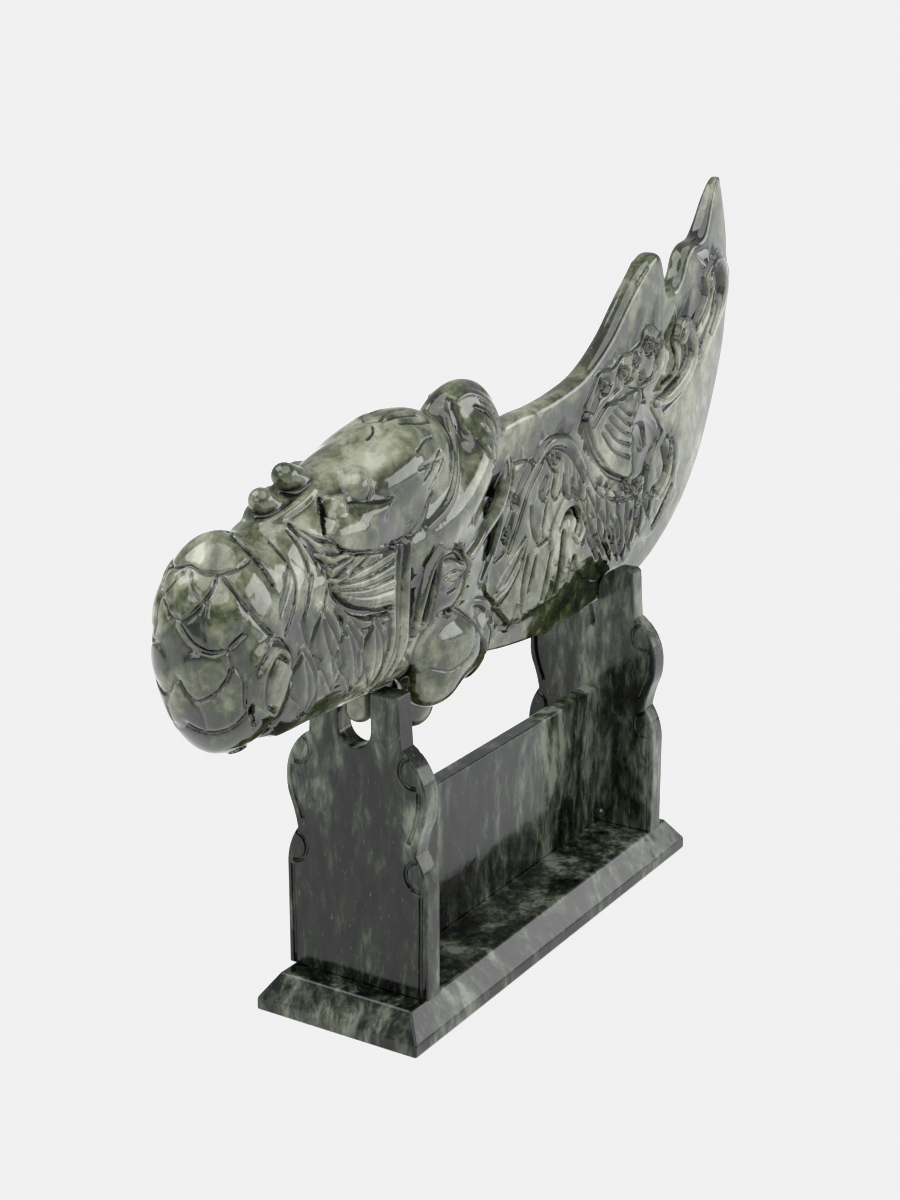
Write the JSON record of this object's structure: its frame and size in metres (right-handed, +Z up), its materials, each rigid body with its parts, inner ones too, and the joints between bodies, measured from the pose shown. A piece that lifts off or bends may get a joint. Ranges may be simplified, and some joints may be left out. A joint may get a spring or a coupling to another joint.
{
  "type": "jade sabre on stand",
  "caption": "Carved jade sabre with a dragon-head hilt and relief blade, resting in the notches of a jade stand with two shaped end slabs, a stretcher panel and a chamfered base.",
  "frame": {"origin": "centre of the base plate's underside, on the surface the stand rests on", "axes": "+X along the sabre from the pommel to the blade's tip, +Z up, Y across the sabre's thickness"},
  "size_m": [0.3755, 0.066, 0.264],
  "materials": {
    "jade_stand": "polished",
    "jade_sabre": "polished"
  },
  "bodies": {
    "stand": {"base_plate": "jade_stand", "hilt_upright": "jade_stand", "blade_upright": "jade_stand", "stretcher_panel": "jade_stand"},
    "sabre_body": {"sabre": "jade_sabre"}
  },
  "joints": [
    {"name": "sabre_lift", "type": "slide", "parent": "stand", "child": "sabre_body", "axis": [0, 0, 1], "range_m": [0, 0.05]}
  ]
}
